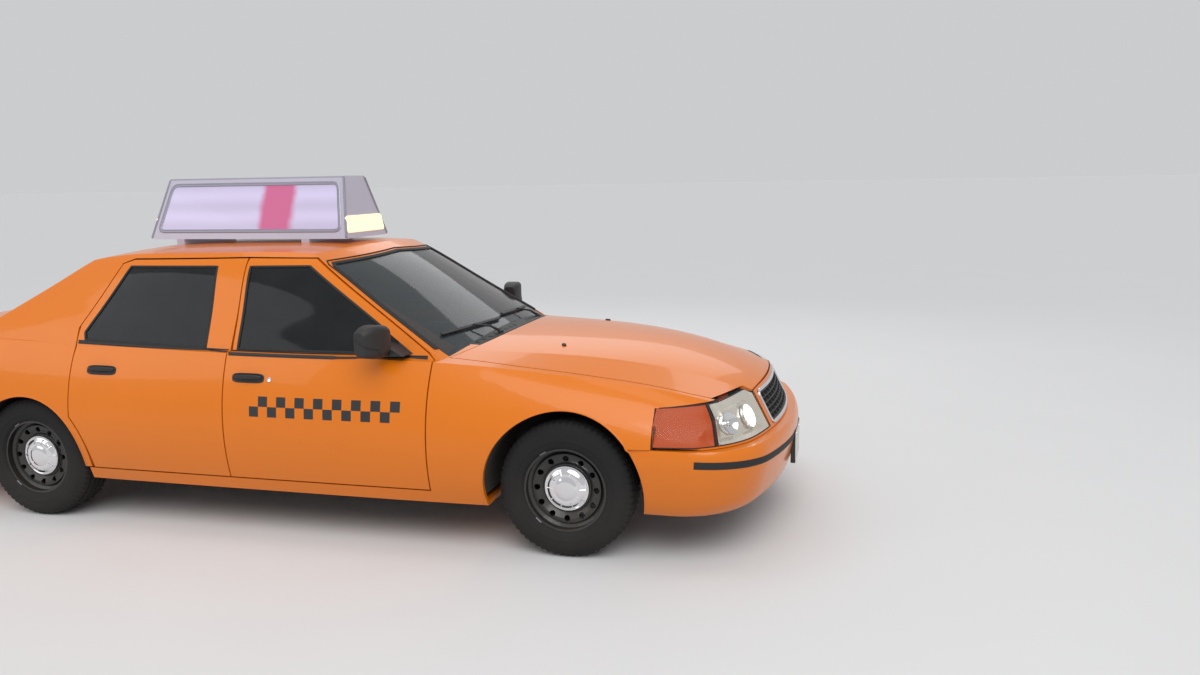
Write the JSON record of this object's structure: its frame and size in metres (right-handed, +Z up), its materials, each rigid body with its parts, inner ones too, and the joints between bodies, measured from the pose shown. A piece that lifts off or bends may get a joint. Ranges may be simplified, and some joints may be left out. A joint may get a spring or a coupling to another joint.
{
  "type": "taxi cab",
  "caption": "Long saloon taxi with opening doors, bonnet and boot, steered front wheels and a lit wedge-shaped sign on the roof.",
  "frame": {"origin": "on the ground under the middle of the car, midway between the bumpers", "axes": "+X to the nose, +Y to the left, +Z up"},
  "size_m": [5.537, 2.196, 1.857],
  "materials": {
    "paint": "gloss orange-yellow paint",
    "underbody": "matt black underbody paint",
    "frame_steel": "satin black frame paint",
    "iron": "dull cast iron",
    "exhaust_steel": "dull aluminised steel",
    "trim_black": "black plastic",
    "glass": "tinted glass",
    "lamp_clear": "clear lens",
    "lamp_red": "red lens",
    "tyre": "black tyre rubber",
    "wheel_steel": "black painted steel",
    "seat_vinyl": "black vinyl",
    "sign_case": "dark sign case",
    "sign_lit": "lit lilac-white sign face"
  },
  "bodies": {
    "body": {"wing_right": "paint", "wing_left": "paint", "headlamps": "lamp_clear", "front_panel": "paint", "grille": "trim_black", "tail_lamps": "lamp_red", "quarter_right": "paint", "quarter_left": "paint", "tail_panel": "underbody", "roof": "paint", "windscreen": "glass", "rear_window": "glass", "side_ring_right": "paint", "side_ring_left": "paint", "front_bumper": "paint", "rear_bumper": "paint", "front_wheelhouses": "underbody", "rear_wheelhouses": "underbody", "floor_pan": "underbody", "parcel_shelf": "paint", "cowl": "trim_black", "frame_front": "frame_steel", "frame_middle": "frame_steel", "frame_rear": "frame_steel", "engine": "iron", "radiator": "frame_steel", "front_arms": "frame_steel", "rear_axle": "iron", "rear_springs": "frame_steel", "drive_shaft": "frame_steel", "exhaust": "exhaust_steel", "dashboard": "trim_black", "steering_column": "trim_black", "front_seats": "seat_vinyl", "rear_seat": "seat_vinyl", "roof_sign": "sign_case", "sign_panels": "sign_lit"},
    "bonnet": {"bonnet": "paint"},
    "boot_lid": {"boot_lid": "paint"},
    "door_front_right": {"door_front_right": "paint", "glass_front_right": "glass", "mirror_right": "trim_black"},
    "door_front_left": {"door_front_left": "paint", "glass_front_left": "glass", "mirror_left": "trim_black"},
    "door_rear_right": {"door_rear_right": "paint", "glass_rear_right": "glass"},
    "door_rear_left": {"door_rear_left": "paint", "glass_rear_left": "glass"},
    "knuckle_right": {"knuckle_right": "iron"},
    "knuckle_left": {"knuckle_left": "iron"},
    "wheel_front_right": {"tyre_front_right": "tyre", "rim_front_right": "wheel_steel"},
    "wheel_front_left": {"tyre_front_left": "tyre", "rim_front_left": "wheel_steel"},
    "wheel_rear_right": {"tyre_rear_right": "tyre", "rim_rear_right": "wheel_steel"},
    "wheel_rear_left": {"tyre_rear_left": "tyre", "rim_rear_left": "wheel_steel"},
    "steering_wheel": {"steering_wheel": "trim_black"}
  },
  "joints": [
    {"name": "door_front_right_hinge", "type": "hinge", "parent": "body", "child": "door_front_right", "pos_m": [1.008, -0.981, 0.6], "axis": [0, 0, 1], "range_deg": [0, 66]},
    {"name": "door_front_left_hinge", "type": "hinge", "parent": "body", "child": "door_front_left", "pos_m": [1.008, 0.981, 0.6], "axis": [0, 0, -1], "range_deg": [0, 66]},
    {"name": "door_rear_right_hinge", "type": "hinge", "parent": "body", "child": "door_rear_right", "pos_m": [-0.1185, -0.981, 0.6], "axis": [0, 0, 1], "range_deg": [0, 68]},
    {"name": "door_rear_left_hinge", "type": "hinge", "parent": "body", "child": "door_rear_left", "pos_m": [-0.1185, 0.981, 0.6], "axis": [0, 0, -1], "range_deg": [0, 68]},
    {"name": "bonnet_hinge", "type": "hinge", "parent": "body", "child": "bonnet", "pos_m": [1.107, 0, 1.015], "axis": [0, -1, 0], "range_deg": [0, 42]},
    {"name": "boot_lid_hinge", "type": "hinge", "parent": "body", "child": "boot_lid", "pos_m": [-1.735, 0, 1.078], "axis": [0, 1, 0], "range_deg": [0, 68]},
    {"name": "steer_right", "type": "hinge", "parent": "body", "child": "knuckle_right", "pos_m": [1.7285, -0.7, 0.338], "axis": [0, 0, 1], "range_deg": [-28, 28]},
    {"name": "steer_left", "type": "hinge", "parent": "body", "child": "knuckle_left", "pos_m": [1.7285, 0.7, 0.338], "axis": [0, 0, 1], "range_deg": [-28, 28]},
    {"name": "spin_front_right", "type": "hinge", "parent": "knuckle_right", "child": "wheel_front_right", "pos_m": [1.7285, -0.805, 0.338], "axis": [0, 1, 0], "continuous": true},
    {"name": "spin_front_left", "type": "hinge", "parent": "knuckle_left", "child": "wheel_front_left", "pos_m": [1.7285, 0.805, 0.338], "axis": [0, 1, 0], "continuous": true},
    {"name": "spin_rear_right", "type": "hinge", "parent": "body", "child": "wheel_rear_right", "pos_m": [-1.3375, -0.833, 0.338], "axis": [0, 1, 0], "continuous": true},
    {"name": "spin_rear_left", "type": "hinge", "parent": "body", "child": "wheel_rear_left", "pos_m": [-1.3375, 0.833, 0.338], "axis": [0, 1, 0], "continuous": true},
    {"name": "steering_wheel_turn", "type": "hinge", "parent": "body", "child": "steering_wheel", "pos_m": [0.64, 0.37, 0.81], "axis": [-0.9135, 0, 0.4067], "range_deg": [-420, 420]}
  ],
  "couplings": [
    {"joint": "steer_left", "follows": "steer_right", "ratio": 1},
    {"joint": "steering_wheel_turn", "follows": "steer_right", "ratio": 15}
  ]
}
